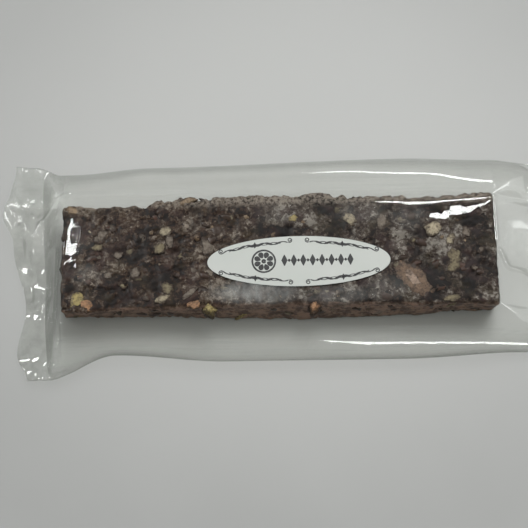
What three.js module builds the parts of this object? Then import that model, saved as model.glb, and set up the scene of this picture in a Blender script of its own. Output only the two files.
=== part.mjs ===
// A date bar sealed in a clear film pouch, lying flat with its oval paper label up.
// Millimetres: +X runs along the bar, +Y is the back, +Z is up, and the origin is the middle of the
// underside. The pouch is one closed solid out to its film, with the bar as a raised block in it.
import * as THREE from "three";
import { mergeVertices } from "three/addons/utils/BufferGeometryUtils.js";

// The bar's ends, and how high the film lies on it.
const BAR_LEFT = -62.3;
const BAR_RIGHT = 58;
const FILM_ON_BAR = 12.3;

// Long edges of the bar's top and of the pouch, as [x, y] stations.
const BAR_BACK = [[-62, 16.6], [-39, 15.9], [-29, 18.2], [58, 17.6]];
const BAR_FRONT = [[-62, -14.5], [-24, -13.6], [3, -13.3], [58, -14.3]];
const BACK_FOLD = [[-70, 30], [-64, 27.9], [-38, 30], [33, 31.5], [58, 30.6], [71, 29.1], [80, 30.4]];
const FRONT_FOLD = [[-75, -31], [-67, -31.5], [-48, -24.9], [-17, -27.2], [32, -27.4], [69, -25.8], [80, -30]];

// Outer edges of the two end seals and the lines where they start, as [place across, x], where -1 is
// the front and 1 the back. The left seal is crumpled, so its outer edge wanders.
const LEFT_END = [[-1, -72.5], [-0.8, -75.6], [-0.5, -72.8], [0.1, -77.2], [0.5, -80.5], [1, -76.4]];
const LEFT_SEAL = [[-1, -67.4], [1, -69.6]];
const RIGHT_SEAL = [[-1, 71.4], [1, 72]];
const RIGHT_END = [[-1, 79], [-0.6, 80.5], [-0.1, 78.8], [0.45, 80.2], [1, 78.2]];

// Height of the middle of each seal above the table, as [place across, z].
const LEFT_RISE = [[-1, 3.4], [-0.8, 1.6], [-0.45, 4.6], [-0.1, 2.4], [0.35, 5.2], [0.7, 3.2], [1, 6.4]];
const RIGHT_RISE = [[-1, 2.2], [-0.55, 4.8], [-0.15, 2.8], [0.3, 5.4], [0.7, 3], [1, 4.6]];

const SEAL_REACH = 18; // how far in from a seal its waves still lift the folds
const SEAL_CURL = 1.1; // how much a seal's outer edge turns up or down
const EDGE_THICKNESS = 0.8; // of seals and side folds, drawn thicker than the real film
const FRONT_FOLD_RISE = 4.2;
const BACK_FOLD_RISE = 5;

// How the film falls from the bar: 1 is a straight fall, 0 stays level and drops at the fold.
const SIDE_TAUTNESS = 0.35;
const END_TAUTNESS = 0.85;
const SIDE_ROUNDING = 5; // power of the drop towards a fold
const END_ROUNDING = 2; // power of the drop towards a seal
const UNDERSIDE_ROUNDING = 1.9; // power of the rise of the underside towards a fold
const CORNER_ROUNDING = 2.6; // power that joins the side fall and the end fall at the bar's corners

// Low lumps where the film lies on pieces in the bar.
const LUMP_COUNT = 110;
const LUMP_RADIUS = [2.6, 5.6];
const LUMP_HEIGHT = [0.08, 0.36];
const LUMP_SEED = 5;

const LABEL = { x: 3.1, y: -1.2, length: 50.5, width: 14.5, thickness: 0.3, gap: 0.1 };
const LABEL_MARGIN = 1.25; // the film is flat out to this many times the label's size
const LABEL_BLEND = 0.4; // and lumpy again this many times its size further out

// Grid cells of the pouch: seal, end slope, bar, end slope and seal along X; slope, bar, slope along Y.
const CELLS_ALONG = [4, 6, 48, 6, 4];
const CELLS_ACROSS = [8, 12, 8];

const mix = (a, b, t) => a + (b - a) * t;
const clamp01 = (t) => Math.min(1, Math.max(0, t));
const ease = (t) => clamp01(t) ** 2 * (3 - 2 * clamp01(t));
const total = (cells) => cells.reduce((sum, count) => sum + count, 0);

// The value at a place between stations, levelling out at each station.
function eased(stations, at) {
  const next = stations.findIndex(([place]) => place > at);
  if (next === 0) return stations[0][1];
  if (next < 0) return stations[stations.length - 1][1];
  const [[from, a], [to, b]] = stations.slice(next - 1, next + 1);
  return mix(a, b, ease((at - from) / (to - from)));
}

// The place of a grid line, numbered from 0, among marks with a stated number of cells between them.
function markedPlace(marks, cells, line) {
  let band = 0;
  while (band < cells.length - 1 && line > cells[band]) line -= cells[band++];
  return mix(marks[band], marks[band + 1], line / cells[band]);
}

// The plan place of a grid crossing, the outline round it, and where it is across, from -1 to 1.
function planPlace(column, row) {
  const evenRow = (2 * row) / total(CELLS_ACROSS) - 1;
  const [left, leftSeal, rightSeal, right] = [LEFT_END, LEFT_SEAL, RIGHT_SEAL, RIGHT_END].map(
    (stations) => eased(stations, evenRow),
  );
  const x = markedPlace([left, leftSeal, BAR_LEFT, BAR_RIGHT, rightSeal, right], CELLS_ALONG, column);
  const [front, barFront, barBack, back] = [FRONT_FOLD, BAR_FRONT, BAR_BACK, BACK_FOLD].map(
    (stations) => eased(stations, x),
  );
  const y = markedPlace([front, barFront, barBack, back], CELLS_ACROSS, row);
  const across = (2 * (y - front)) / (back - front) - 1;
  return { x, y, left, leftSeal, rightSeal, right, front, barFront, barBack, back, across };
}

// Height of the middle of the folds and seals, carried across the whole plan.
function rimHeight({ x, left, leftSeal, rightSeal, right, across }) {
  const fold = mix(FRONT_FOLD_RISE, BACK_FOLD_RISE, (across + 1) / 2);
  const leftPart = ease(1 - (x - leftSeal) / SEAL_REACH);
  const rightPart = ease(1 - (rightSeal - x) / SEAL_REACH);
  const leftCurl = SEAL_CURL * clamp01((leftSeal - x) / (leftSeal - left)) * Math.cos(5 * across + 2);
  const rightCurl = SEAL_CURL * clamp01((x - rightSeal) / (right - rightSeal)) * Math.cos(4 * across - 1);
  return fold + leftPart * (eased(LEFT_RISE, across) - fold) + leftCurl
    + rightPart * (eased(RIGHT_RISE, across) - fold) + rightCurl;
}

// How far the film has fallen at a place: 0 on the bar, 1 at a fold or seal, with the share of the fall
// that is towards an end.
function fallAt({ x, y, leftSeal, rightSeal, front, barFront, barBack, back }) {
  const leftShare = (BAR_LEFT - x) / (BAR_LEFT - leftSeal);
  const rightShare = (x - BAR_RIGHT) / (rightSeal - BAR_RIGHT);
  const end = clamp01(Math.max(leftShare, rightShare));
  const side = clamp01(Math.max((y - barBack) / (back - barBack), (barFront - y) / (barFront - front)));
  const fall = clamp01((end ** CORNER_ROUNDING + side ** CORNER_ROUNDING) ** (1 / CORNER_ROUNDING));
  return { fall, endShare: end / (end + side || 1) };
}

// Share of the height above the rim that is left after a fall.
function drape({ fall, endShare }) {
  const tautness = mix(SIDE_TAUTNESS, END_TAUTNESS, endShare);
  const rounding = mix(SIDE_ROUNDING, END_ROUNDING, endShare);
  return 1 - tautness * fall - (1 - tautness) * fall ** rounding;
}

// Repeatable draws between two limits.
function seededDraws(seed) {
  let state = seed;
  return ([low, high]) => {
    state = (state * 48271) % 2147483647;
    return mix(low, high, state / 2147483647);
  };
}

function drawLumps() {
  const draw = seededDraws(LUMP_SEED);
  const barDepth = [BAR_FRONT[0][1], BAR_BACK[0][1]];
  return Array.from({ length: LUMP_COUNT }, () => ({
    x: draw([BAR_LEFT, BAR_RIGHT]),
    y: draw(barDepth),
    radius: draw(LUMP_RADIUS),
    height: draw(LUMP_HEIGHT),
  }));
}

// Height of the highest lump under the film at a place, none under the label.
function lumpHeight(lumps, x, y) {
  const fromLabel = 2 * Math.hypot((x - LABEL.x) / LABEL.length, (y - LABEL.y) / LABEL.width);
  const clearOfLabel = ease((fromLabel - LABEL_MARGIN) / LABEL_BLEND);
  const heights = lumps.map(
    (lump) => lump.height * ease(1 - Math.hypot(x - lump.x, y - lump.y) / lump.radius),
  );
  return clearOfLabel * Math.max(...heights);
}

function filmHeight(place, side, lumps) {
  const rim = rimHeight(place);
  const state = fallAt(place);
  if (side < 0) return (rim - EDGE_THICKNESS / 2) * state.fall ** UNDERSIDE_ROUNDING;
  const edge = rim + EDGE_THICKNESS / 2;
  return edge + (FILM_ON_BAR - edge + lumpHeight(lumps, place.x, place.y)) * drape(state);
}

function pouchGeometry() {
  const columns = total(CELLS_ALONG);
  const rows = total(CELLS_ACROSS);
  const lumps = drawLumps();
  const block = new THREE.BoxGeometry(columns, rows, 2, columns, rows, 1);
  block.deleteAttribute("normal");
  block.deleteAttribute("uv");
  const geometry = mergeVertices(block);
  const points = geometry.getAttribute("position");
  for (let i = 0; i < points.count; i++) {
    const place = planPlace(Math.round(points.getX(i) + columns / 2), Math.round(points.getY(i) + rows / 2));
    points.setXYZ(i, place.x, place.y, filmHeight(place, points.getZ(i), lumps));
  }
  geometry.computeVertexNormals();
  return geometry;
}

function labelGeometry() {
  const oval = new THREE.Shape().absellipse(0, 0, LABEL.length / 2, LABEL.width / 2, 0, 2 * Math.PI);
  return new THREE.ExtrudeGeometry(oval, { depth: LABEL.thickness, bevelEnabled: false, curveSegments: 72 });
}

function named(name, geometry, material) {
  const mesh = new THREE.Mesh(geometry, new THREE.MeshStandardMaterial(material));
  mesh.name = name;
  return mesh;
}

const pouch = named("pouch", pouchGeometry(), { color: 0x5a4c44, roughness: 0.25, metalness: 0 });
const label = named("label", labelGeometry(), { color: 0xdcdfd8, roughness: 0.6, metalness: 0 });
label.position.set(LABEL.x, LABEL.y, FILM_ON_BAR + LABEL.gap);

export default new THREE.Group().add(pouch, label);
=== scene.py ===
"""A date bar sealed in a clear film pouch, with an oval paper label, lying on a pale table.

Sizes are in millimetres in the part's own frame, and MM turns them into metres where a mesh is made.
"""

import math
import random

import bmesh
import bpy
from mathutils import Matrix, Vector, noise
from mathutils.bvhtree import BVHTree


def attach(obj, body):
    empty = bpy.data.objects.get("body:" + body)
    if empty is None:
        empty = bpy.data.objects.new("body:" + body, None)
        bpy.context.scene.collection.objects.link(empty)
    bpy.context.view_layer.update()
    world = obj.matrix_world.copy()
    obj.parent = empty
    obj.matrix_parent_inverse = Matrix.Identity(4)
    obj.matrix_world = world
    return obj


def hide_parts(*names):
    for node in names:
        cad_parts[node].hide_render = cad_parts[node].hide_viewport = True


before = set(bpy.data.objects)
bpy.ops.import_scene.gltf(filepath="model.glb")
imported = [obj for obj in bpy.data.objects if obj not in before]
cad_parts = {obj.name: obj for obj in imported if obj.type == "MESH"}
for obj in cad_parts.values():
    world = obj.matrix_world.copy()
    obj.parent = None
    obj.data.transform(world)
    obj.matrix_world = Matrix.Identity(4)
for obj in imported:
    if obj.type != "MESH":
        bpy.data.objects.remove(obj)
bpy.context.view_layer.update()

MM = 0.001

# ---- the pouch and the bar, as the part's source has them ----
BAR_LEFT, BAR_RIGHT = -62.3, 58.0
FILM_ON_BAR = 12.3
BAR_BACK = [(-62, 16.6), (-39, 15.9), (-29, 18.2), (58, 17.6)]
BAR_FRONT = [(-62, -14.5), (-24, -13.6), (3, -13.3), (58, -14.3)]
BACK_FOLD = [(-70, 30), (-64, 27.9), (-38, 30), (33, 31.5), (58, 30.6), (71, 29.1), (80, 30.4)]
FRONT_FOLD = [(-75, -31), (-67, -31.5), (-48, -24.9), (-17, -27.2), (32, -27.4), (69, -25.8), (80, -30)]
LEFT_END = [(-1, -72.5), (-0.8, -75.6), (-0.5, -72.8), (0.1, -77.2), (0.5, -80.5), (1, -76.4)]
LEFT_SEAL = [(-1, -67.4), (1, -69.6)]
RIGHT_SEAL = [(-1, 71.4), (1, 72)]
RIGHT_END = [(-1, 79), (-0.6, 80.5), (-0.1, 78.8), (0.45, 80.2), (1, 78.2)]
LEFT_RISE = [(-1, 3.4), (-0.8, 1.6), (-0.45, 4.6), (-0.1, 2.4), (0.35, 5.2), (0.7, 3.2), (1, 6.4)]
RIGHT_RISE = [(-1, 2.2), (-0.55, 4.8), (-0.15, 2.8), (0.3, 5.4), (0.7, 3), (1, 4.6)]
SEAL_REACH = 18.0
SEAL_CURL = 1.1
FRONT_FOLD_RISE, BACK_FOLD_RISE = 4.2, 5.0
CORNER_ROUNDING = 4.5
LABEL_X, LABEL_Y = 3.1, -1.2
LABEL_LENGTH, LABEL_WIDTH = 50.5, 14.5
LABEL_MARGIN, LABEL_BLEND = 1.25, 0.4


def mix(a, b, share):
    return a + (b - a) * share


def clamp01(value):
    return min(1.0, max(0.0, value))


def ease(share):
    share = clamp01(share)
    return share * share * (3 - 2 * share)


def eased(stations, at):
    """The value at a place between stations, levelling out at each station."""
    if at <= stations[0][0]:
        return stations[0][1]
    for (start, a), (end, b) in zip(stations, stations[1:]):
        if at < end:
            return mix(a, b, ease((at - start) / (end - start)))
    return stations[-1][1]


# ---- the film ----
FILM_PLY_GAP = 0.24  # between the two plies at the seals and folds
FILM_OVER_BAR = 0.3
FINE_LEFT, FINE_RIGHT, FINE_BACK = -54.0, 36.0, 9.3  # where the grid over the bar turns finer
FINE_BEYOND = 1.5  # how far behind the bar the finer grid goes on
FILM_CELLS_ALONG = (34, 28, 24, 104, 80, 28, 18)
FILM_CELLS_ACROSS = (36, 54, 32, 34)

# Shapes of the fall from the bar: a first share by a straight fall or a dip, the rest by a power.
FRONT_TAUTNESS, FRONT_ROUNDING = 0.30, 4.0
LEFT_TAUTNESS, RIGHT_TAUTNESS = 0.5, 0.96
BACK_ROUNDING = 2.3

# Where the film turns down behind the bar, and where the lower ply leaves the table, as [x, y] stations.
BACK_RIDGE = [(-66, 18.5), (-52, 20.5), (-40, 23.2), (16, 24.4), (38, 23.3), (57.6, 20.2), (68.4, 21.0)]
FRONT_TOUCH = [(-66, -17.2), (-3, -17.2), (4, -17.9), (9, -18.3), (16, -18.9), (24, -19.3), (66, -20.2)]
BACK_TOUCH, LEFT_TOUCH, RIGHT_TOUCH = 0.45, 0.30, 0.84
UNDERSIDE_FRONT_ROUNDING, UNDERSIDE_BACK_ROUNDING, UNDERSIDE_END_ROUNDING = 6.0, 3.2, 1.5
UNDERSIDE_BEND, UNDERSIDE_MOST_BENT = 0.0086, 0.85  # how far the lower ply starts to rise evenly at the front

# Ridges of the film that stand out: height, half-width, sharpness, and points on the crest.
FILM_RIDGES = [
    (0.55, 1.4, 2, [(-61.5, 19.6), (-64.2, 18.9), (-66.5, 17.3), (-70.0, 14.0), (-71.2, 10.5), (-71.2, 7.4), (-67.4, 7.0)]),
    (0.75, 3.0, 1, [(-76.6, 24.5), (-75.2, 18.5), (-74.0, 14.6), (-72.2, 8.8), (-71.2, 4.6)]),
    (0.65, 2.2, 1, [(-71.2, 4.6), (-70.5, -1.5), (-69.6, -8.5)]),
    (0.35, 1.2, 1, [(-79.6, 10.8), (-75.6, 13.2)]),
    (0.7, 2.4, 1, [(-66.2, -10.0), (-66.9, -15.0), (-67.6, -21.5), (-71.4, -28.4)]),
    (-1.0, 2.0, 2, [(-64.6, 4.0), (-64.9, -3.0), (-65.0, -13.0)]),
    (0.5, 1.0, 2, [(-62.4, -17.6), (-61.5, -22.2)]),
    (0.35, 0.8, 2, [(-28.6, -12.2), (-27.6, -10.2), (-24.2, -8.4)]),
    (0.4, 1.1, 2, [(58.2, 16.9), (58.0, 9.0), (58.1, 3.6)]),
    (0.5, 1.2, 2, [(58.9, 1.2), (60.9, -3.6), (65.4, -3.9)]),
]

# A facet near the bar's left end that tilts to the left: its right and left edges as [y, x] stations,
# the place where it is as high as the film round it, and a lump in its middle.
WORN_START = [(1.4, -57.9), (7.0, -57.7), (9.8, -58.0), (12.6, -59.4)]
WORN_END = [(1.4, -62.0), (8.8, -61.5), (12.6, -60.4)]
WORN_SLOPE, WORN_MIDDLE = 0.285, -59.8
WORN_LUMP = (0.34, (-59.3, 7.6), (0.95, 3.3))

# Small facets in front of it that tilt the same way: their middles and half-sizes.
WORN_BITS = [((-61.6, -0.9), (0.6, 0.9)), ((-59.9, 0.3), (1.3, 0.75)), ((-58.6, -1.3), (0.7, 0.8))]

# A ragged facet over the bar's back right, tilted to the back: its front and back edges, its slope, and
# how fast its middle moves back along X.
SLACK_FRONT = [
    (38.9, 11.1), (39.8, 10.1), (41.6, 9.8), (45.0, 9.7), (45.8, 10.8), (48.4, 10.9),
    (49.4, 11.4), (50.8, 11.5), (52.5, 12.5), (53.3, 13.2), (55.2, 13.6), (57.3, 15.2),
]
SLACK_BACK = [
    (38.9, 11.1), (40.4, 12.6), (42.4, 12.7), (43.3, 11.9), (43.9, 13.0), (45.0, 13.2),
    (45.7, 15.0), (48.6, 14.7), (50.4, 14.2), (51.6, 14.4), (54.9, 15.2), (57.3, 16.1),
]
SLACK_SLOPE, SLACK_SHIFT = 0.122, 0.22

# A line over the bar's back edge where the film steps down a little: its place and the step's width.
TURN_LINE = [(20, 15.9), (31, 15.7), (33.5, 15.2), (40.1, 15.3), (44.8, 15.7), (50.6, 16.1), (57.5, 16.5)]
TURN_WIDTH = [(20, 0.7), (31, 1.0), (34, 1.5), (41, 1.4), (45, 1.0), (50, 0.8), (58, 0.85)]
TURN_SLOPE = 0.13


def worn_drop(x, y):
    """How far the film lies lower on the left facet than round it."""
    for (at_x, at_y), (along, across) in WORN_BITS:
        if math.hypot((x - at_x) / along, (y - at_y) / across) < 1:
            return WORN_SLOPE * (at_x - x)
    ragged = 0.3 * noise.noise(Vector((3.7, y / 1.4, 6.2)))
    if not eased(WORN_END, y) < x < eased(WORN_START, y) + ragged or not 1.6 < y < 12.6:
        return 0.0
    height, (at_x, at_y), (along, across) = WORN_LUMP
    return WORN_SLOPE * (WORN_MIDDLE - x) - height * ease(1 - math.hypot((x - at_x) / along, (y - at_y) / across))


def slack_drop(x, y):
    """How far the film lies lower on the back right facet than round it."""
    start_x, start_y = SLACK_FRONT[0]
    start = eased(SLACK_FRONT, x) + 0.4 * noise.noise(Vector((x / 0.8, 0, 4.4)))
    end = eased(SLACK_BACK, x) + 0.6 * noise.noise(Vector((x / 0.9, 9, 2.1)))
    if x < start_x or not start < y < end:
        return 0.0
    return SLACK_SLOPE * (y - start_y - SLACK_SHIFT * (x - start_x))


def top_sag(x, y):
    """How far the film on the bar's top lies below its usual height."""
    width = eased(TURN_WIDTH, x)
    depth = TURN_SLOPE * width / 1.5 * ease((x - TURN_LINE[0][0]) / 6)
    turned = depth * ease((y - eased(TURN_LINE, x)) / width + 0.5)
    return worn_drop(x, y) + slack_drop(x, y) + turned


def ridge_rise(x, y):
    """Height of the standing ridges of the film at a place, and how near the closest crest is, 0 to 1."""
    rise, near = 0.0, 0.0
    here = Vector((x, y))
    for height, reach, sharpness, crest in FILM_RIDGES:
        nearest = reach
        for start, end in zip(crest, crest[1:]):
            a, b = Vector(start), Vector(end)
            if (here - (a + b) / 2).length > reach + (b - a).length / 2:
                continue
            share = clamp01((here - a).dot(b - a) / (b - a).length_squared)
            nearest = min(nearest, (here - (a + (b - a) * share)).length)
        rise += height * (1 - nearest / reach) ** sharpness
        near = max(near, 1 - nearest / reach)
    return rise, near


def marked_place(marks, cells, line):
    """The place of a grid line, numbered from 0, among marks with a stated number of cells between."""
    band = 0
    while band < len(cells) - 1 and line > cells[band]:
        line -= cells[band]
        band += 1
    return mix(marks[band], marks[band + 1], line / cells[band])


class PouchPlace:
    """A plan place on the pouch, with the outline round it."""

    def __init__(self, column, row):
        even_row = 2 * row / sum(FILM_CELLS_ACROSS) - 1
        self.left, self.left_seal, self.right_seal, self.right = (
            eased(stations, even_row) for stations in (LEFT_END, LEFT_SEAL, RIGHT_SEAL, RIGHT_END)
        )
        along = (self.left, self.left_seal, BAR_LEFT, FINE_LEFT, FINE_RIGHT, BAR_RIGHT, self.right_seal, self.right)
        self.x = marked_place(along, FILM_CELLS_ALONG, column)
        self.front, self.bar_front, self.bar_back, self.back = (
            eased(stations, self.x) for stations in (FRONT_FOLD, BAR_FRONT, BAR_BACK, BACK_FOLD)
        )
        across = (self.front, self.bar_front, FINE_BACK, self.bar_back + FINE_BEYOND, self.back)
        self.y = marked_place(across, FILM_CELLS_ACROSS, row)
        self.across = 2 * (self.y - self.front) / (self.back - self.front) - 1
        self.left_share = ease(1 - (self.x - self.left_seal) / SEAL_REACH)
        self.right_share = ease(1 - (self.right_seal - self.x) / SEAL_REACH)

    def rim(self):
        """Height of the middle of the folds and seals, carried across the whole plan."""
        fold = mix(FRONT_FOLD_RISE, BACK_FOLD_RISE, (self.across + 1) / 2)
        left_out = clamp01((self.left_seal - self.x) / (self.left_seal - self.left))
        right_out = clamp01((self.x - self.right_seal) / (self.right - self.right_seal))
        curl = left_out * math.cos(5 * self.across + 2) + right_out * math.cos(4 * self.across - 1)
        waves = self.left_share * (eased(LEFT_RISE, self.across) - fold)
        waves += self.right_share * (eased(RIGHT_RISE, self.across) - fold)
        return fold + waves + SEAL_CURL * curl

    def falls(self):
        """How far the place is from the bar to a side fold and to an end, 0 to 1."""
        left = (BAR_LEFT - self.x) / (BAR_LEFT - self.left_seal)
        right = (self.x - BAR_RIGHT) / (self.right_seal - BAR_RIGHT)
        back = (self.y - self.bar_back) / (self.back - self.bar_back)
        front = (self.bar_front - self.y) / (self.bar_front - self.front)
        return clamp01(max(back, front)), clamp01(max(left, right))


def joined(side, end):
    """Two shares of a fall as one, rounded where both count."""
    return clamp01((end**CORNER_ROUNDING + side**CORNER_ROUNDING) ** (1 / CORNER_ROUNDING))


def off_label(x, y):
    """0 under the label, 1 well clear of it."""
    from_label = 2 * math.hypot((x - LABEL_X) / LABEL_LENGTH, (y - LABEL_Y) / LABEL_WIDTH)
    return ease((from_label - LABEL_MARGIN) / LABEL_BLEND)


def folded(x, y, size, seed):
    """Sharp creases between smooth facets, 0 to 1, about size apart."""
    return 1 - abs(noise.noise(Vector((x / size, y / size, seed)))) * 2


def film_ripple(place, fall):
    """Small waves of the film: low over the bar, crumpled towards the seals."""
    x, y = place.x, place.y
    on_bar = 0.04 * noise.noise(Vector((x / 8, y / 6, 3.3))) + 0.008 * noise.noise(Vector((x / 2, y / 2, 8.1)))
    on_slope = 0.30 * noise.noise(Vector((x / 18, y / 6, 5.7)))
    pleats = 0.42 * folded(x, 0.2 * y, 3.6, 4.7) + 0.10 * folded(x, 0.35 * y, 1.8, 7.9)
    crumple = 0.95 * folded(x, y, 12, 2.2) + 0.32 * folded(x, y, 5.2, 6.4) + 0.05 * folded(x, y, 2.4, 1.9)
    crumple += pleats - 0.9
    rise, near = ridge_rise(x, y)
    ends = (place.left_share**1.5 + 0.35 * place.right_share**8) * (1 - 0.75 * ease(1.6 * near))
    return off_label(x, y) * on_bar + fall * (1 - fall) * on_slope + fall * ends * crumple + rise


def side_drop(place, fall):
    """Share of the film's height lost by a place on the slope to a side fold."""
    if place.y < place.bar_front:
        return FRONT_TAUTNESS * fall + (1 - FRONT_TAUTNESS) * fall**FRONT_ROUNDING
    ridge = (eased(BACK_RIDGE, place.x) - place.bar_back) / (place.back - place.bar_back)
    down = clamp01((fall - ridge) / (1 - ridge))
    return down**BACK_ROUNDING


def end_drop(place, fall):
    return mix(ease(fall), fall, LEFT_TAUTNESS if place.x < 0 else RIGHT_TAUTNESS)


def lift_after(touch, share, rounding):
    """How far the lower ply has risen from the table to the rim, where it starts at a share of the way."""
    return clamp01((share - touch) / (1 - touch)) ** rounding


def film_heights(place):
    """Heights of the lower and the upper ply at a place."""
    side, end = place.falls()
    fall = joined(side, end)
    rim = place.rim()
    ripple = film_ripple(place, fall)
    if place.y < 0:
        touch = eased(FRONT_TOUCH, place.x)
        side_touch = (place.bar_front - touch) / (place.bar_front - place.front)
        bend = min(UNDERSIDE_BEND * (touch - place.front) ** 2, UNDERSIDE_MOST_BENT)
        gentle, steep = (lift_after(side_touch, side, power) for power in (2, UNDERSIDE_FRONT_ROUNDING))
        side_lift = mix(steep, gentle, bend)
    else:
        side_lift = lift_after(BACK_TOUCH, side, UNDERSIDE_BACK_ROUNDING)
    end_lift = lift_after(LEFT_TOUCH if place.x < 0 else RIGHT_TOUCH, end, UNDERSIDE_END_ROUNDING)
    lower = max(0.02, (rim - FILM_PLY_GAP / 2 + ripple) * joined(side_lift, end_lift))
    edge = rim + FILM_PLY_GAP / 2
    end_share = end / (end + side) if end + side else 0.0
    drop = mix(side_drop(place, fall), end_drop(place, fall), end_share)
    on_bar = FILM_ON_BAR - top_sag(place.x, place.y)
    upper = edge + (on_bar - edge) * (1 - drop) + ripple
    return lower, max(upper, lower + FILM_PLY_GAP)


def new_piece(name, bm, finish, smooth=True):
    mesh = bpy.data.meshes.new(name)
    for face in bm.faces:
        face.smooth = smooth
    bm.to_mesh(mesh)
    bm.free()
    mesh.materials.append(finish)
    piece = bpy.data.objects.new(name, mesh)
    bpy.context.scene.collection.objects.link(piece)
    return piece


RIGHT_SHINE_FROM = 3.6  # only behind this does the film shine along the bar's right end


def film_piece(finish):
    """The whole pouch as one closed skin: an upper and a lower ply joined along folds and seals."""
    columns, rows = sum(FILM_CELLS_ALONG), sum(FILM_CELLS_ACROSS)
    bm = bmesh.new()
    bmesh.ops.create_grid(bm, x_segments=columns, y_segments=rows, size=0.5)
    lower = list(bm.verts)
    raised = bmesh.ops.extrude_face_region(bm, geom=list(bm.faces))["geom"]
    upper = [v for v in raised if isinstance(v, bmesh.types.BMVert)]
    found = {}
    for ply, verts in enumerate((lower, upper)):
        for v in verts:
            column, row = round((v.co.x + 0.5) * columns), round((v.co.y + 0.5) * rows)
            if (column, row) not in found:
                place = PouchPlace(column, row)
                found[column, row] = (place.x, place.y, film_heights(place))
            x, y, heights = found[column, row]
            v.co = Vector((x, y, heights[ply])) * MM
    for edge in bm.edges:
        ends = [v.co / MM for v in edge.verts]
        at_left = all(abs(end.x - BAR_LEFT) < 0.01 for end in ends)
        at_right = all(abs(end.x - BAR_RIGHT) < 0.01 and end.y < RIGHT_SHINE_FROM for end in ends)
        edge.smooth = not (at_left or at_right)
    bmesh.ops.recalc_face_normals(bm, faces=list(bm.faces))
    return new_piece("pouch_film", bm, finish)


# ---- the bar ----
BAR_TOP = FILM_ON_BAR - FILM_OVER_BAR
PASTE_LEFT = BAR_LEFT - 0.4
PASTE_BACK = [
    (-62, 16.6), (-41, 16.0), (-35, 17.6), (-28, 18.4), (4, 18.5), (7.5, 19.2), (11.5, 19.2),
    (14.5, 18.1), (38, 17.5), (58, 18.5),
]
BAR_FOOT = [
    (-62, -13.0), (-47, -13.3), (-22, -13.9), (3, -14.9), (28, -14.3), (37, -14.3), (46, -13.2), (58, -13.2),
]
BAR_CUTS = (239, 67, 27)
BAR_EDGE = 1.1  # rounding of the bar's top and upright edges
BAR_FOOT_EDGE = 1.7  # and of its bottom edges
PASTE_LUMP = 4.6  # usual size of a piece of date
PASTE_GRAIN = 1.7


def paste_relief(point):
    """Height in mm of the pressed pieces of date at a place, how deep in a gap it is, and a tone."""
    warp = point + 1.8 * noise.noise_vector(point / 4)
    far, near_points = noise.voronoi(warp / PASTE_LUMP)
    open_here = ease(0.5 + 1.6 * noise.noise(point / 9 + Vector((7, 3, 1))))
    gap = 1 - (1 - clamp01((far[1] - far[0]) / 0.26)) * open_here
    small, _ = noise.voronoi(warp / PASTE_GRAIN)
    grain = clamp01((small[1] - small[0]) / 0.5)
    tone = clamp01(0.5 + noise.noise(near_points[0] * 9.7))
    height = 0.55 * (gap - 1) + 0.25 * (grain - 1) + 0.6 * (tone - 0.5)
    height += 0.42 * noise.fractal(point / 3.1, 0.9, 2.0, 4) + 0.1
    return height, 1 - min(gap, 0.55 + 0.45 * grain), tone


def bar_piece(finish):
    """The pressed bar: a block with rounded edges, rough all over, flattest on top and bottom."""
    bm = bmesh.new()
    bmesh.ops.create_cube(bm, size=2)
    for axis, cuts in enumerate(BAR_CUTS):
        along = [e for e in bm.edges if abs((e.verts[1].co - e.verts[0].co).normalized()[axis]) > 0.9]
        bmesh.ops.subdivide_edges(bm, edges=along, cuts=cuts, use_grid_fill=True)
    # how deep in a gap each place lies, used to paint shade into the gaps
    cavity = bm.verts.layers.float.new("cavity")
    tone = bm.verts.layers.float.new("tone")
    front_face = bm.verts.layers.float.new("front_face")
    for v in bm.verts:
        x = mix(PASTE_LEFT, BAR_RIGHT, (v.co.x + 1) / 2)
        up = (v.co.z + 1) / 2
        front, back = mix(eased(BAR_FOOT, x), eased(BAR_FRONT, x), up), eased(PASTE_BACK, x)
        y = mix(front, back, (v.co.y + 1) / 2)
        low = Vector((PASTE_LEFT, front, 0.1))
        high = Vector((BAR_RIGHT, back, BAR_TOP - max(0.0, top_sag(x, y))))
        flat = Vector((x, y, mix(low.z, high.z, up)))
        edge = mix(BAR_FOOT_EDGE, BAR_EDGE, up)
        core = Vector(min(max(c, a + edge), b - edge) for c, a, b in zip(flat, low, high))
        out = (flat - core).normalized()
        height, v[cavity], v[tone] = paste_relief(flat)
        v[front_face] = max(0.0, -out.y)
        pressed = min(height, 0.1 * height)
        roughness = (0.35 if out.x > 0 else 0.7) * abs(out.x) + (1.4 if out.y > 0 else 0.5) * abs(out.y)
        placed = core + out * (edge + roughness * height + 0.9 * abs(out.z) * pressed)
        placed.z = min(max(placed.z, 0.08), high.z + 0.1)
        v.co = placed * MM
    bmesh.ops.recalc_face_normals(bm, faces=list(bm.faces))
    tree = BVHTree.FromBMesh(bm)
    return new_piece("date_paste", bm, finish), tree


# ---- pieces pressed into the bar ----
NUT_YELLOW = (0.27, 0.215, 0.085)
NUT_ORANGE = (0.25, 0.135, 0.070)
NUT_ALMOND = (0.130, 0.084, 0.055)
NUT_PALE = (0.238, 0.174, 0.134)
NUT_TAN = (0.20, 0.145, 0.093)
NUT_BROWN = (0.13, 0.085, 0.05)
OAT_PALE = (0.31, 0.265, 0.19)
OAT_CREAM = (0.25, 0.213, 0.150)
OAT_GREY = (0.135, 0.113, 0.092)
OAT_OLIVE = (0.15, 0.126, 0.078)
SKIN_RED = (0.052, 0.026, 0.019)
SKIN_BROWN = (0.040, 0.024, 0.017)
SKIN_BLACK = (0.013, 0.0092, 0.0080)

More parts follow.
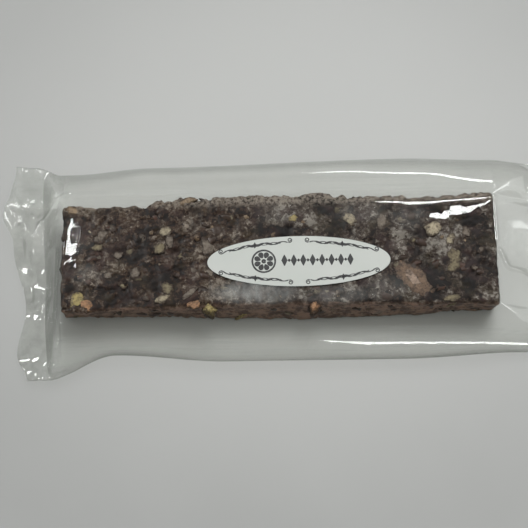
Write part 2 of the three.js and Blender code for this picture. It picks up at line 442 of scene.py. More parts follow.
# Pieces that stand out: x, y, then length, width and thickness, turn in degrees, and colour.
MARKED_NUTS = [
    (-58.0, -11.3, 5.2, 4.6, 2.2, 60, NUT_YELLOW), (-55.4, -12.6, 4.8, 3.4, 2.0, -35, NUT_ORANGE),
    (34.7, -6.9, 13.6, 7.2, 1.7, -46, NUT_ALMOND),
    (34.5, -6.7, 7.4, 3.4, 1.4, -46, NUT_PALE),
    (-21.7, -14.3, 3.8, 3.6, 5.6, 5, NUT_YELLOW), (7.0, -14.0, 3.6, 3.2, 6.0, 80, NUT_ORANGE),
    (-25.9, -12.9, 4.0, 2.4, 1.8, 10, NUT_ORANGE), (-59.6, 14.9, 4.6, 3.0, 2.6, -8, NUT_TAN),
    (1.8, 11.4, 2.6, 2.2, 1.2, 0, NUT_YELLOW), (-27.6, 17.2, 5.0, 2.2, 1.8, 10, NUT_TAN),
]
# On the front face: x, z, then the same.
FRONT_NUTS = [
    (-12.4, 3.4, 6.2, 2.6, 1.6, 0, NUT_YELLOW), (-58.0, 4.6, 4.4, 2.6, 1.8, 5, NUT_TAN),
    (44.5, 9.6, 4.4, 2.2, 1.4, 0, OAT_OLIVE),
]
MARKED_OATS = [
    (40.6, 7.8, 4.8, 4.4, 0.9, 0, OAT_PALE), (45.2, 4.4, 3.6, 2.4, 0.8, 60, OAT_CREAM),
    (46.1, -0.4, 4.0, 3.4, 0.8, 80, OAT_OLIVE), (45.6, -3.2, 4.0, 3.0, 0.8, 60, OAT_OLIVE),
    (44.6, -12.6, 4.6, 2.2, 0.8, 10, OAT_OLIVE), (-33.9, 8.4, 3.8, 3.2, 0.8, 20, OAT_CREAM),
    (-32.6, 5.4, 2.2, 3.6, 0.8, 0, OAT_GREY), (-34.6, -11.2, 4.4, 2.4, 0.9, 25, OAT_CREAM),
    (-33.2, -8.2, 3.0, 3.4, 0.9, 70, OAT_OLIVE), (-51.4, 7.6, 3.2, 2.6, 0.8, 30, OAT_GREY),
    (-52.6, 4.0, 3.4, 2.0, 0.8, 10, OAT_OLIVE), (-46.9, 1.7, 2.6, 2.0, 0.7, 0, OAT_GREY),
    (-49.5, -4.1, 2.4, 2.0, 0.7, 30, OAT_GREY), (-42.1, -3.7, 3.0, 2.6, 0.7, 60, OAT_GREY),
    (-27.2, -9.8, 5.6, 1.6, 0.8, 38, OAT_GREY), (-35.4, 3.4, 3.4, 3.0, 0.8, 0, OAT_OLIVE),
    (17.6, 11.0, 4.6, 2.8, 0.8, -50, OAT_CREAM), (26.4, 10.0, 3.0, 4.4, 0.8, 0, OAT_GREY),
    (49.6, 6.4, 2.4, 3.0, 0.8, 0, OAT_GREY), (-22.4, 3.6, 3.0, 4.6, 0.8, 20, OAT_GREY),
]

PIECE_RISE = 0.3  # of marked pieces, before the film presses them flat
FLAKE_RISE = 0.13  # of scattered ones
MARKED_TOP, MARKED_TOP_STEP = 0.045, 0.003  # how far marked pieces stand out of the bar's top, pressed flat
FLAKE_TOPS = (0.0, 0.05)  # and scattered ones


def roughened_blob(bm, tint_layer, place, sizes, axes, tint, seed, top, detail=2, soiling=1.0):
    """Adds an uneven rounded piece at a place, with its own axes and colour; alpha is how stained it is."""
    unevenness = min(0.5, 2.0 / sizes[0])
    blob = bmesh.ops.create_icosphere(bm, subdivisions=detail, radius=0.5)["verts"]
    for v in blob:
        buried = 1 - clamp01(2 * v.co.z)
        wobble = noise.noise(v.co * 2.6 + Vector((seed, 2.0 * seed, 0.7 * seed)))
        wobble += 0.5 * noise.noise(v.co * 8.5 + Vector((0, seed, 1.3 * seed)))
        local = v.co * (1 + unevenness * wobble)
        spot = place + sum((axis * size * part for axis, size, part in zip(axes, sizes, local)), Vector())
        spot.z = min(max(spot.z, 0.1), BAR_TOP - max(0.0, top_sag(spot.x, spot.y)) + top)
        v.co = spot * MM
        v[tint_layer] = (*tint, buried * soiling)


def facing_axes(out, turn):
    """Three axes for a flat piece: along and across its face, and out of the surface."""
    side = out.orthogonal().normalized() if abs(out.z) < 0.9 else Vector((1, 0, 0))
    side = (side - out * side.dot(out)).normalized()
    spin = Matrix.Rotation(turn, 3, out)
    along = spin @ side
    return along, out.cross(along), out


def on_surface(tree, x, y, z, towards):
    """Where a line from outside meets the bar, and the way out of it there."""
    start = (Vector((x, y, z)) - 90 * towards) * MM
    place, normal, _, _ = tree.ray_cast(start, towards)
    return (place / MM, normal) if place else None


def scattered_places(tree, count, draw):
    """Random places over the bar's top and sides, with the top taking most of them."""
    for _ in range(count):
        x = draw.uniform(BAR_LEFT + 2.5, BAR_RIGHT - 2.5)
        y = draw.uniform(-11.5, 15.0)
        z = draw.uniform(2.0, 9.5)
        pick = draw.random()
        if pick < 0.66:
            spot = on_surface(tree, x, y, 6, Vector((0, 0, -1)))
        elif pick < 0.79:
            spot = on_surface(tree, x, 2, z, Vector((0, -1, 0)))
        elif pick < 0.92:
            spot = on_surface(tree, x, 2, z, Vector((0, 1, 0)))
        else:
            spot = on_surface(tree, 0, y, z, Vector((draw.choice((-1, 1)), 0, 0)))
        if spot:
            yield spot


def pressed_pieces(name, finish, tree, marked, on_front, count, length, flatness, tints, seed, proud):
    """One kind of piece in the bar: the marked ones at their places and the rest scattered."""
    draw = random.Random(seed)
    bm = bmesh.new()
    tint_layer = bm.verts.layers.float_color.new("tint")
    for number, (x, y, long, wide, thick, turn, tint) in enumerate(marked):
        centre = Vector((x, y, BAR_TOP - top_sag(x, y) + PIECE_RISE - thick / 2))
        axes = facing_axes(Vector((0, 0, 1)), math.radians(turn))
        top = MARKED_TOP + MARKED_TOP_STEP * number
        sizes = (long, wide, thick)
        roughened_blob(bm, tint_layer, centre, sizes, axes, tint, 5.1 + number, top, detail=4, soiling=0.6)
    for number, (x, z, long, wide, thick, turn, tint) in enumerate(on_front):
        place, out = on_surface(tree, x, 2, z, Vector((0, 1, 0)))
        axes = facing_axes(out, math.radians(turn))
        centre = place - out * thick * 0.35
        roughened_blob(bm, tint_layer, centre, (long, wide, thick), axes, tint, 8.3 + number, 0.0, detail=4, soiling=0.4)
    for number, (place, out) in enumerate(scattered_places(tree, count, draw)):
        if any(math.hypot(place.x - x, place.y - y) < 0.4 * long for x, y, long, *_ in marked):
            continue
        long = draw.uniform(*length)
        wide = long * draw.uniform(0.55, 0.95)
        thick = long * draw.uniform(*flatness)
        tilt = Vector(draw.uniform(-0.25, 0.25) for _ in range(3))
        axes = facing_axes((out + tilt).normalized(), draw.uniform(0, math.tau))
        centre = place - out * thick * (0.5 - proud)
        tint = Vector(draw.choice(tints)) * draw.uniform(0.45, 1.1)
        centre.z = min(centre.z, BAR_TOP - top_sag(place.x, place.y) + FLAKE_RISE - 0.5 * thick)
        sizes = (long, wide, thick)
        roughened_blob(bm, tint_layer, centre, sizes, axes, tint, 40.0 + number, draw.uniform(*FLAKE_TOPS))
    return new_piece(name, bm, finish)


# ---- the label ----
LABEL_REST = FILM_ON_BAR + 0.05
LABEL_THICKNESS = 0.12
INK_LIFT = LABEL_REST + LABEL_THICKNESS + 0.01
INK_HALF_DEPTH = 0.012


def label_piece(finish):
    """The oval paper label, a thin flat disc."""
    bm = bmesh.new()
    bmesh.ops.create_circle(bm, cap_ends=True, segments=160, radius=0.5)
    for scale in (0.985, 0.9, 0.6):
        face = max(bm.faces, key=lambda f: len(f.verts))
        bmesh.ops.inset_individual(bm, faces=[face], thickness=0.5 * (1 - scale) * 0.5)
    bmesh.ops.scale(bm, vec=(LABEL_LENGTH * MM, LABEL_WIDTH * MM, 1), verts=list(bm.verts))
    raised = bmesh.ops.extrude_face_region(bm, geom=list(bm.faces))["geom"]
    top = [v for v in raised if isinstance(v, bmesh.types.BMVert)]
    bmesh.ops.translate(bm, vec=(0, 0, LABEL_THICKNESS * MM), verts=top)
    bmesh.ops.translate(bm, vec=Vector((LABEL_X, LABEL_Y, LABEL_REST)) * MM, verts=list(bm.verts))
    bmesh.ops.recalc_face_normals(bm, faces=list(bm.faces))
    return new_piece("label_sheet", bm, finish, smooth=False)


def ink_stroke(strokes, points, widths):
    """Adds a stroke of ink through points on the label, as wide as stated at each."""
    spline = strokes.splines.new("POLY")
    spline.points.add(len(points) - 1)
    for slot, (x, y), width in zip(spline.points, points, widths):
        slot.co = (x * MM, y * MM, 0, 1)
        slot.radius = width / 2


def curl(centre, radius, start, turns, steps=16):
    """Points that wind into a small spiral round a centre."""
    points = []
    for step in range(steps + 1):
        share = step / steps
        angle = start + math.tau * turns * share
        reach = radius * (1 - 0.72 * share)
        points.append((centre[0] + reach * math.cos(angle), centre[1] + reach * math.sin(angle)))
    return points


SCROLL_INNER, SCROLL_OUTER = 3.0, 21.0
SCROLL_OVAL = (23.7, 5.5)
SCROLL_WAVES = 3.5
BUD_AT = 12.1


def scroll_height(x):
    return SCROLL_OVAL[1] * math.sqrt(1 - (x / SCROLL_OVAL[0]) ** 2)


def scroll_strokes(strokes, across, up):
    """One of the four sprays: a swelling wavy stem with a curl at each end and a bud on it."""
    steps = 72
    stem, twist, widths = [], [], []
    for step in range(steps + 1):
        share = step / steps
        x = mix(SCROLL_INNER, SCROLL_OUTER, share)
        wave = math.sin(math.tau * SCROLL_WAVES * share)
        stem.append((x, scroll_height(x) + 0.30 * wave))
        twist.append((x, scroll_height(x) - 0.26 * wave))
        swelling = math.sin(math.pi * share) ** 0.6 * abs(math.cos(math.tau * SCROLL_WAVES * share))
        widths.append(0.24 + 0.46 * swelling)
    inner = curl((SCROLL_INNER - 0.55, scroll_height(SCROLL_INNER) + 0.66), 0.72, -0.3 * math.pi, -1.4)
    outer = curl((SCROLL_OUTER + 0.5, scroll_height(SCROLL_OUTER) + 0.56), 0.72, -0.75 * math.pi, 1.4)
    bud_y = scroll_height(BUD_AT)
    bud = [(BUD_AT, bud_y + rise) for rise in (-0.85, -0.3, 0.0, 0.3, 0.95)]
    leaves = [(BUD_AT + along, bud_y + 0.12 * along) for along in (-1.0, -0.4, 0.0, 0.4, 1.0)]
    for points, sizes in (
        (stem, widths),
        (twist[8:66], [0.2] * 58),
        (inner, [0.27] * len(inner)),
        (outer, [0.27] * len(outer)),
        (bud, [0.06, 0.8, 1.05, 0.75, 0.06]),
        (leaves, [0.06, 0.5, 0.7, 0.5, 0.06]),
    ):
        ink_stroke(strokes, [(LABEL_X + across * x, LABEL_Y + up * y) for x, y in points], sizes)


BADGE_X, BADGE_Y, BADGE_RADIUS = -6.6, -1.1, 3.4
PETALS = 8
ROW_START, ROW_END, ROW_Y = -0.9, 17.3, -0.95


def ring(centre, radius, steps=64):
    return [
        (centre[0] + radius * math.cos(math.tau * i / steps), centre[1] + radius * math.sin(math.tau * i / steps))
        for i in range(steps + 1)
    ]


def badge_strokes(strokes):
    """A plain rosette in a ring."""
    ink_stroke(strokes, ring((BADGE_X, BADGE_Y), BADGE_RADIUS - 0.25), [0.5] * 65)
    ink_stroke(strokes, ring((BADGE_X, BADGE_Y), 0.36, 12), [0.6] * 13)
    for petal in range(PETALS):
        angle = math.tau * (petal + 0.5) / PETALS
        reach = (0.95, 1.3, 1.75, 2.25, 2.6, 2.75)
        points = [(BADGE_X + r * math.cos(angle), BADGE_Y + r * math.sin(angle)) for r in reach]
        ink_stroke(strokes, points, [0.25, 0.95, 1.4, 1.45, 0.9, 0.25])


def row_strokes(strokes):
    """A row of upright lozenges and beads."""
    spacing = (ROW_END - ROW_START) / 14
    for number in range(15):
        x = ROW_START + spacing * number
        if number % 2:
            ink_stroke(strokes, [(x, ROW_Y - 0.45), (x, ROW_Y), (x, ROW_Y + 0.45)], [0.14, 0.95, 0.14])
        else:
            tall = [(x, ROW_Y - 1.6), (x, ROW_Y - 0.6), (x, ROW_Y), (x, ROW_Y + 0.6), (x, ROW_Y + 1.6)]
            ink_stroke(strokes, tall, [0.2, 1.15, 1.7, 1.15, 0.2])


def ink_piece(finish):
    """All the print on the label, as thin raised strokes."""
    strokes = bpy.data.curves.new("label_ink", "CURVE")
    strokes.dimensions = "3D"
    strokes.bevel_depth = MM
    strokes.bevel_resolution = 1
    strokes.use_fill_caps = True
    for across in (-1, 1):
        for up in (-1, 1):
            scroll_strokes(strokes, across, up)
    badge_strokes(strokes)
    row_strokes(strokes)
    drawn = bpy.data.objects.new("label_ink", strokes)
    mesh = bpy.data.meshes.new_from_object(drawn)
    bpy.data.objects.remove(drawn)
    bpy.data.curves.remove(strokes)
    bm = bmesh.new()
    bm.from_mesh(mesh)
    bpy.data.meshes.remove(mesh)
    for v in bm.verts:
        v.co.z = INK_LIFT * MM + max(-1, min(1, v.co.z / (0.2 * MM))) * INK_HALF_DEPTH * MM
    return new_piece("label_print", bm, finish, smooth=False)


# ---- shader writing ----
class Wire:
    """An output of a shader node. Arithmetic on it adds Math nodes."""

    def __init__(self, finish, socket):
        self.finish, self.socket = finish, socket

    def math(self, operation, *terms):
        return self.finish.node("ShaderNodeMath", dict(enumerate(terms)), {"operation": operation})

    def __add__(self, other):
        return self.math("ADD", self, other)

    def __sub__(self, other):
        return self.math("SUBTRACT", self, other)

    def __rsub__(self, other):
        return self.math("SUBTRACT", other, self)

    def __mul__(self, other):
        return self.math("MULTIPLY", self, other)

    def __pow__(self, other):
        return self.math("POWER", self, other)

    __radd__ = __add__
    __rmul__ = __mul__

    def band(self, low, high):
        """0 below low, 1 above high, smooth between; the other way round where high is the lower."""
        limits = {0: self, 1: low, 2: high}
        return self.finish.node("ShaderNodeMapRange", limits, {"interpolation_type": "SMOOTHSTEP"})


class Finish:
    """A material in the making."""

    def __init__(self, name):
        self.material = bpy.data.materials.new(name)
        self.material.use_nodes = True
        self.tree = self.material.node_tree
        self.tree.nodes.clear()
        self.place = self.node("ShaderNodeTexCoord", output="Object")

    def node(self, kind, sockets=None, settings=None, output=0):
        """Adds a node, with its settings set first and then its sockets' values or links."""
        node = self.tree.nodes.new(kind)
        for key, value in (settings or {}).items():
            if key == "stops":
                self.set_stops(node.color_ramp, value)
            else:
                setattr(node, key, value)
        for key, value in (sockets or {}).items():
            if isinstance(value, Wire):
                self.tree.links.new(value.socket, node.inputs[key])
            else:
                node.inputs[key].default_value = value
        return Wire(self, node.outputs[output])

    @staticmethod
    def set_stops(ramp, stops):
        while len(ramp.elements) < len(stops):
            ramp.elements.new(1.0)
        for element, (position, colour) in zip(ramp.elements, stops):
            element.position = position
            element.color = (*colour, 1.0)

    def shifted(self, cloud, reach):
        """The place on the piece, moved about by a coloured cloud, up to reach millimetres."""
        halves = self.node("ShaderNodeVectorMath", {0: cloud, 1: (0.5, 0.5, 0.5)}, {"operation": "SUBTRACT"})
        scaled = {0: halves, "Scale": 2 * reach * MM}
        moved = self.node("ShaderNodeVectorMath", scaled, {"operation": "SCALE"})
        return self.node("ShaderNodeVectorMath", {0: self.place, 1: moved}, {"operation": "ADD"})

    def voronoi(self, size, where):
        """A random value for each bit, about size millimetres across."""
        bits = self.node("ShaderNodeTexVoronoi", {"Vector": where, "Scale": 1 / (size * MM)}, output="Color")
        return self.node("ShaderNodeSeparateColor", {0: bits})

    def noise(self, size, detail=3.0, roughness=0.55, distortion=0.0, where=None, output=0):
        """Cloudy noise whose features are about size millimetres."""
        sockets = {
            "Vector": where or self.place,
            "Scale": 1 / (size * MM),
            "Detail": detail,
            "Roughness": roughness,
            "Distortion": distortion,
        }
        return self.node("ShaderNodeTexNoise", sockets, output=output)

    def spot(self, middle, reach):
        """1 in the middle of an oval place seen from above, in millimetres, falling to 0 at its rim."""
        centre = (middle[0] * MM, middle[1] * MM, 0)
        offset = self.node("ShaderNodeVectorMath", {0: self.place, 1: centre}, {"operation": "SUBTRACT"})
        scale = (1 / (reach[0] * MM), 1 / (reach[1] * MM), 0)
        scaled = self.node("ShaderNodeVectorMath", {0: offset, 1: scale}, {"operation": "MULTIPLY"})
        far = self.node("ShaderNodeVectorMath", {0: scaled}, {"operation": "LENGTH"}, output="Value")
        return far.band(1.0, 0.3)

    def stretched(self, scale):
        """The place on the piece with its three axes scaled, for streaks."""
        return self.node("ShaderNodeVectorMath", {0: self.place, 1: scale}, {"operation": "MULTIPLY"})

    def blend(self, share, a, b, how="MIX"):
        """Two colours mixed; a colour is a wire or three numbers."""
        a, b = ((*c, 1.0) if isinstance(c, tuple) else c for c in (a, b))
        settings = {"data_type": "RGBA", "blend_type": how}
        return self.node("ShaderNodeMix", {0: share, 6: a, 7: b}, settings, output=2)

    def ramp(self, value, stops):
        return self.node("ShaderNodeValToRGB", {0: value}, {"stops": stops})

    def bump(self, height, depth, strength=1.0):
        sockets = {"Height": height, "Distance": depth * MM, "Strength": strength}
        return self.node("ShaderNodeBump", sockets)

    def surface(self, sockets):
        return self.node("ShaderNodeBsdfPrincipled", sockets)

    def done(self, shader):
        self.node_output = self.tree.nodes.new("ShaderNodeOutputMaterial")
        self.tree.links.new(shader.socket, self.node_output.inputs["Surface"])
        return self.material


# Places on the bar's top: middle, half-sizes, and how far the paste turns dark and wet there.
WET_PLACES = [
    ((41.2, -8.2), (4.2, 7.0), 1.5), ((37.0, 6.5), (3.0, 4.4), 0.9), ((-7.6, 8.5), (1.9, 4.6), 1.0),
    ((-0.4, 8.2), (7.0, 2.2), 0.8), ((-59.6, -7.8), (3.2, 2.4), 0.9), ((51.0, 10.0), (7.0, 4.0), 0.6),
    ((-47.0, -8.0), (11.0, 7.0), 0.5), ((-43.0, 5.0), (9.0, 7.0), 0.5), ((52.0, -6.0), (6.0, 9.0), 0.4),
    ((10.0, 14.0), (8.0, 2.6), 0.4), ((-9.0, 12.5), (10.0, 4.0), 0.35), ((-46.0, 1.4), (5.5, 4.5), 0.5),
    ((-48.5, -1.0), (10.0, 11.0), 0.2),
]


# Places where the paste is paler, in the same way.
PALE_PLACES = [
    ((23.5, 9.8), (5.5, 6.0), 0.5), ((-34.0, 6.8), (4.5, 5.0), 0.35), ((-34.5, -10.0), (5.0, 4.0), 0.45),
    ((40.6, 8.0), (3.6, 3.4), 0.35), ((45.5, 0.0), (3.4, 6.5), 0.25), ((-57.0, 15.2), (8.0, 3.2), 1.5),
    ((-34.5, 13.0), (6.5, 4.5), 0.6), ((-31.0, 1.5), (8.5, 9.0), 0.4), ((28.0, -10.0), (10.0, 4.5), 0.35), ((-21.0, -10.0), (8.0, 4.0), 0.3), ((-8.0, 15.0), (8.0, 3.0), 0.2),
]


def paste_finish():
    """Chopped dates pressed together: a fine mix of near black, red-brown and beige bits."""
    f = Finish("date_paste")
    cavity = f.node("ShaderNodeAttribute", settings={"attribute_name": "cavity"}, output="Fac")
    tone = f.node("ShaderNodeAttribute", settings={"attribute_name": "tone"}, output="Fac")
    warp = f.shifted(f.noise(2.0, 3, 0.6, output="Color"), 1.5)
    bits = f.voronoi(2.3, warp)
    crumbs = f.voronoi(0.9, warp)
    zone = f.noise(9.0, 2, 0.5)
    patch = f.noise(2.6, 3, 0.6, 0.4)
    fine = f.noise(0.9, 4, 0.7)
    shade = 0.30 * bits + 0.34 * crumbs + 1.25 * zone + 1.15 * patch + 1.15 * fine + 0.10 * tone - 1.645
    wet, pale = 0.0, 0.0
    for middle, reach, depth in WET_PLACES:
        wet = f.spot(middle, reach) * depth + wet
    for middle, reach, depth in PALE_PLACES:
        pale = f.spot(middle, reach) * depth + pale
    shade = shade - 0.24 * wet + 0.2 * pale
    paste = f.ramp(
        shade,
        [
            (0.20, (0.0060, 0.0042, 0.0038)),
            (0.33, (0.0172, 0.0090, 0.0058)),
            (0.43, (0.0355, 0.0205, 0.0138)),
            (0.53, (0.064, 0.0435, 0.0325)),
            (0.63, (0.100, 0.0780, 0.0625)),
            (0.74, (0.152, 0.1280, 0.1080)),
            (0.88, (0.330, 0.2980, 0.2600)),
        ],
    )
    hue = f.noise(6.0, 2, 0.5)
    paste = f.blend(hue.band(0.52, 0.66) * 0.45, paste, (0.058, 0.030, 0.030))
    paste = f.blend((wet * 0.5).band(0.1, 0.6) * 0.45, paste, (0.0105, 0.0090, 0.0090))
    paste = f.blend(hue.band(0.46, 0.34) * 0.3, paste, (0.070, 0.056, 0.030))
    # painted shade: the paste is darkened where it lies deep in the gaps between pieces
    paste = f.blend(cavity * 0.75, paste, (0.008, 0.005, 0.0045))
    across = f.node("ShaderNodeSeparateXYZ", {0: f.place}, output=1)
    height = f.node("ShaderNodeSeparateXYZ", {0: f.place}, output=2)
    along = f.node("ShaderNodeSeparateXYZ", {0: f.place}, output=0)
    warm = along.band(0.004, -0.024) * (0.45 + 0.55 * shade.band(0.75, 0.5))
    paste = f.blend(warm, paste, (1.02, 0.84, 0.68), "MULTIPLY")
    front_face = f.node("ShaderNodeAttribute", settings={"attribute_name": "front_face"}, output="Fac")
    layered = (patch * 0.6 + fine * 0.4).band(0.42, 0.6)
    paste = f.blend(front_face**3 * (0.28 + 0.67 * layered), paste, (0.330, 0.213, 0.160))
    # paler paste along the top of the bar's back edge
    pale_back_edge = across.band(0.0145, 0.0172) * fine.band(0.35, 0.6) * height.band(0.004, 0.010) * 0.85
    paste = f.blend(pale_back_edge, paste, (0.315, 0.270, 0.225))
    relief = f.bump(0.5 * crumbs + 0.6 * fine, 0.3, 0.5)
    sockets = {"Base Color": paste, "Roughness": 0.36 + 0.3 * fine, "Normal": relief, "Specular IOR Level": 0.16}
    return f.done(f.surface(sockets))


def inclusion_finish(name, mottle, roughness, relief_size):
    """Pieces in the bar: each piece's own colour, mottled, and stained dark by the paste round it."""
    f = Finish(name)
    tint = f.node("ShaderNodeAttribute", settings={"attribute_name": "tint"}, output="Color")
    buried = f.node("ShaderNodeAttribute", settings={"attribute_name": "tint"}, output="Alpha")
    cloud = f.noise(1.0, 4, 0.65)
    stain = 1.3 * f.noise(1.3, 4, 0.65, 0.5) + 0.9 * f.noise(0.6, 3, 0.6) + 0.9 * buried
    core = {0: tint, "Scale": 0.9 + 0.95 * buried.band(0.5, 0.1)}
    colour = f.node("ShaderNodeVectorMath", core, {"operation": "SCALE"})
    colour = f.blend(cloud.band(0.4, 0.75) * mottle, colour, (0.09, 0.060, 0.042))
    colour = f.blend(stain.band(0.92, 1.66), colour, (0.048, 0.031, 0.023))
    normal = f.bump(f.noise(relief_size, 4, 0.6), 0.15, 0.7)
    sockets = {"Base Color": colour, "Roughness": roughness, "Normal": normal, "Specular IOR Level": 0.2}
    return f.done(f.surface(sockets))


# Places where the film is cloudy: middle, half-sizes, and share of haze.
CLOUDY_PLACES = [
    ((-9.0, -9.9), (15.5, 4.6), 0.30), ((13.0, -10.8), (13.0, 3.8), 0.11), ((27.0, -9.0), (9.0, 5.0), 0.07),
    ((-3.0, 13.0), (8.0, 4.5), 0.05), ((20.0, 13.0), (12.0, 4.0), 0.06), ((-56.5, -3.4), (6.0, 4.5), 0.07),
    ((-58.0, 7.0), (6.0, 7.0), 0.05), ((34.0, 11.5), (7.0, 5.0), 0.09), ((64.0, 6.0), (6.0, 7.0), 0.16),
]


def film_finish():
    """Thin clear film: it mirrors more at a slant, with a faint haze and rub marks."""
    f = Finish("clear_film")
    facing = f.node("ShaderNodeLayerWeight", {"Blend": 0.5}, output="Facing")
    mirror = (0.033 + 0.85 * facing**5) * (1 - 0.82 * f.spot((-74.0, 12.5), (13.0, 16.0)))
    ripple = f.noise(9.0, 2, 0.5) + 0.3 * f.noise(2.2, 2, 0.5)
    normal = f.bump(ripple, 0.12, 0.3)
    clear = f.node("ShaderNodeBsdfTransparent", {"Color": (0.993, 0.996, 0.984, 1.0)})
    smoky_and_shaded = f.node("ShaderNodeBsdfTransparent", {"Color": (0.50, 0.51, 0.485, 1.0)})
    along = f.node("ShaderNodeSeparateXYZ", {0: f.place}, output=0)
    across = f.node("ShaderNodeSeparateXYZ", {0: f.place}, output=1)
    seal = along.band(-0.0650, -0.0700) * f.noise(7.0, 3, 0.6).band(0.2, 0.7)
    # Darker film at a slant and in the crumpled left seal. Across the front margin the darkening is partly painted
    # shade, carrying the bar's shadow further out, and partly the darker film near the front fold.
    smoke_and_shade = facing.band(0.12, 0.85) * 0.75 + 0.24 * seal + 0.15 * across.band(-0.0170, -0.0255)
    clear = f.node("ShaderNodeMixShader", {0: smoke_and_shade, 1: clear, 2: smoky_and_shaded})
    gloss = f.surface(
        {"Base Color": (0.93, 0.95, 0.94, 1), "Metallic": 1.0, "Roughness": 0.05, "Normal": normal}
    )
    film = f.node("ShaderNodeMixShader", {0: mirror, 1: clear, 2: gloss})
    haze = f.surface({"Base Color": (0.78, 0.80, 0.77, 1), "Roughness": 0.5, "Specular IOR Level": 0.2})
    frost = f.noise(11.0, 4, 0.62, 0.8).band(0.45, 0.75) * 0.018 + 0.001
    streaks = f.noise(1.8, 3, 0.6, where=f.stretched((0.05, 1.0, 1.0))).band(0.5, 0.75) * 0.05
    smears = f.noise(3.0, 4, 0.65, where=f.stretched((1.0, 0.5, 1.0))).band(0.15, 0.8)
    margin = across.band(0.0175, 0.0200) + 0.7 * along.band(-0.0610, -0.0635)
    front = across.band(-0.0175, -0.0205)
    streaks = streaks * along.band(-0.070, -0.062) * (1.0 + 0.9 * front)
    frost = (frost + 0.010 + 0.045 * margin + streaks) * (0.06 + 0.94 * (margin + front))
    for middle, reach, share in CLOUDY_PLACES:
        frost = frost + f.spot(middle, reach) * smears * (1.25 * share)
    return f.done(f.node("ShaderNodeMixShader", {0: frost, 1: film, 2: haze}))


def paper_finish():
    f = Finish("label_paper")
    fibre = f.noise(0.5, 4, 0.6)
    cloud = f.noise(14.0, 2, 0.5)
    white = f.blend(cloud.band(0.35, 0.7), (0.645, 0.675, 0.635), (0.68, 0.70, 0.665))
    sockets = {
        "Base Color": white,
        "Roughness": 0.55 + fibre * 0.1,
        "Normal": f.bump(fibre, 0.02, 0.4),
        "Specular IOR Level": 0.35,
    }
    return f.done(f.surface(sockets))


def ink_finish():
    f = Finish("label_ink")
    wear = f.noise(0.7, 3, 0.6)
    black = f.blend(wear.band(0.5, 0.75), (0.020, 0.021, 0.022), (0.055, 0.056, 0.055))
    return f.done(f.surface({"Base Color": black, "Roughness": 0.5 + wear * 0.15}))


# The table is painted paler round a middle: a painted pool of light.
LIGHT_POOL_MIDDLE = (0, 20)  # the middle of the palest part of the table


def table_finish():
    f = Finish("pale_table")
    cloud = f.noise(60.0, 3, 0.5)
    pale = f.blend(cloud.band(0.3, 0.7), (0.50, 0.505, 0.495), (0.53, 0.535, 0.525))
    # painted light: a paler pool on the table round its middle
    pale = f.blend(f.spot(LIGHT_POOL_MIDDLE, (125, 110)), pale, (0.625, 0.63, 0.617))
    return f.done(f.surface({"Base Color": pale, "Roughness": 0.7, "Specular IOR Level": 0.15}))


# ---- table, light and camera ----
def table_piece(finish):
    bm = bmesh.new()
    bmesh.ops.create_grid(bm, x_segments=1, y_segments=1, size=3.0)
    bmesh.ops.translate(bm, vec=(0, 0, -0.0001), verts=list(bm.verts))
    return new_piece("table", bm, finish, smooth=False)


def soft_light(name, centre, aim, size, power, colour=(1, 1, 1)):
    """A rectangular light at a centre, turned to a place, all in metres."""
    data = bpy.data.lights.new(name, "AREA")
    data.shape = "RECTANGLE"
    data.size, data.size_y = size
    data.energy = power
    data.color = colour
    light = bpy.data.objects.new(name, data)
    light.location = centre
    light.rotation_euler = (Vector(aim) - Vector(centre)).to_track_quat("-Z", "Y").to_euler()
    bpy.context.scene.collection.objects.link(light)
    return light


def ambient_light(colour, strength):
    world = bpy.data.worlds.new("room")
    world.use_nodes = True
    sky = world.node_tree.nodes["Background"]
    sky.inputs["Color"].default_value = (*colour, 1.0)
    sky.inputs["Strength"].default_value = strength
    bpy.context.scene.world = world


CAMERA_AIM = (-6.55, 0.21, 6.0)
CAMERA_RISE = 72.0  # degrees above the table
CAMERA_ROLL = 1.1
CAMERA_DISTANCE = 420.0
CAMERA_LENS = 102.27


def photo_camera():
    """The camera over the bar's front, leaning a little, as the photograph has it."""
    rise, roll = math.radians(CAMERA_RISE), math.radians(CAMERA_ROLL)
    back = Vector((0, -math.cos(rise), math.sin(rise)))
    right = Vector((1, 0, 0))
    up = back.cross(right)
    turned_right = math.cos(roll) * right - math.sin(roll) * up
    turned_up = math.sin(roll) * right + math.cos(roll) * up
    data = bpy.data.cameras.new("photo_camera")
    data.lens = CAMERA_LENS
    data.sensor_width = 36.0
    camera = bpy.data.objects.new("photo_camera", data)
    turn = Matrix((turned_right, turned_up, back)).transposed()
    camera.matrix_world = Matrix.Translation((Vector(CAMERA_AIM) + CAMERA_DISTANCE * back) * MM) @ turn.to_4x4()
    bpy.context.scene.collection.objects.link(camera)
    bpy.context.scene.camera = camera


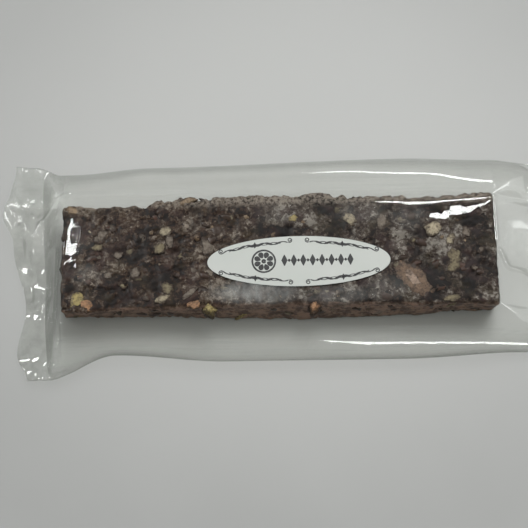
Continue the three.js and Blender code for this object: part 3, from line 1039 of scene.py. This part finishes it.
def light_scene():
    ambient_light((0.97, 0.985, 0.965), 0.10)
    ceiling = soft_light("ceiling", (0, 0, 1.0), (0, 0, 0), (2.0, 2.0), 6.9, (0.97, 0.985, 0.965))
    ceiling.visible_glossy = False
    window = soft_light("window", (0.16, 0.30, 0.62), (0, 0, 0), (0.42, 0.30), 2.5)
    window.visible_glossy = False
    for name, centre, size, power in (
        ("back_card", (0.12, 0.36, 0.53), (0.18, 0.085), 1.5),
        ("left_card", (-0.42, 0.22, 0.45), (0.16, 0.26), 3.8),
        ("left_glow", (-0.50, 0.10, 0.40), (0.50, 0.60), 0.6),
        ("right_card", (0.50, 0.20, 0.40), (0.14, 0.30), 1.1),
        ("right_glow", (0.60, 0.18, 0.21), (0.34, 0.34), 0.9),
    ):
        card = soft_light(name, centre, (0, 0, 0), size, power)
        card.visible_diffuse = False


# ---- the whole pack ----
photo_camera()
light_scene()

bar, bar_tree = bar_piece(paste_finish())
nuts = pressed_pieces(
    "nut_pieces", inclusion_finish("nut_pieces", 0.55, 0.5, 0.8), bar_tree,
    MARKED_NUTS, FRONT_NUTS, 34, (1.4, 3.2), (0.5, 0.9), (NUT_TAN, NUT_BROWN, NUT_BROWN), 11, 0.1,
)
oats = pressed_pieces(
    "oat_flakes", inclusion_finish("oat_flakes", 0.4, 0.65, 0.6), bar_tree,
    MARKED_OATS, [], 62, (1.8, 4.0), (0.16, 0.3), (OAT_CREAM, OAT_GREY, OAT_GREY, OAT_OLIVE), 23, 0.16,
)
skins = pressed_pieces(
    "date_skins", inclusion_finish("date_skins", 0.3, 0.4, 0.9), bar_tree,
    [], [], 100, (2.4, 5.4), (0.25, 0.5), (SKIN_RED, SKIN_BROWN, SKIN_BLACK), 37, 0.12,
)
film = film_piece(film_finish())
film.visible_shadow = False
label = label_piece(paper_finish())
print_on_label = ink_piece(ink_finish())
table = table_piece(table_finish())

for piece in (film, bar, nuts, oats, skins):
    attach(piece, "root")
    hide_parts("pouch")
for piece in (label, print_on_label):
    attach(piece, "root")
    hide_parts("label")

scene = bpy.context.scene
scene.view_settings.view_transform = "Standard"
scene.cycles.transparent_max_bounces = 16
